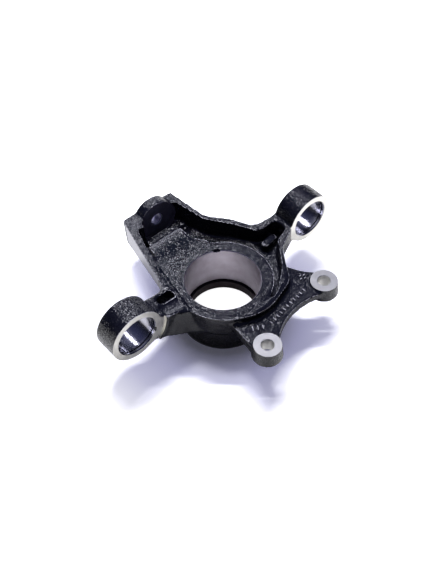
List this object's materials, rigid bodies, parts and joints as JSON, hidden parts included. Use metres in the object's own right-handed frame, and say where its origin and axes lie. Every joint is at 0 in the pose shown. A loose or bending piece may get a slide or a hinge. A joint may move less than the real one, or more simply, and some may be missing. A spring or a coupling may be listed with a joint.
{
  "type": "steering knuckle",
  "caption": "Cast steering knuckle with a wheel-bearing housing, ball-joint rings on two arms, a pocketed tie-rod tower and a caliper plate.",
  "frame": {"origin": "centre of the wheel-bearing bore in the upper face of its housing", "axes": "+Z along the wheel axis, out of the open mouth of the bearing seat; the ball-joint rings stand apart along X; +Y towards the tie-rod tower"},
  "size_m": [0.2782, 0.2247, 0.0822],
  "materials": {
    "casting": "black coating over sand-cast iron, with bare machined seats"
  },
  "bodies": {
    "root": {"knuckle": "casting"}
  },
  "joints": []
}
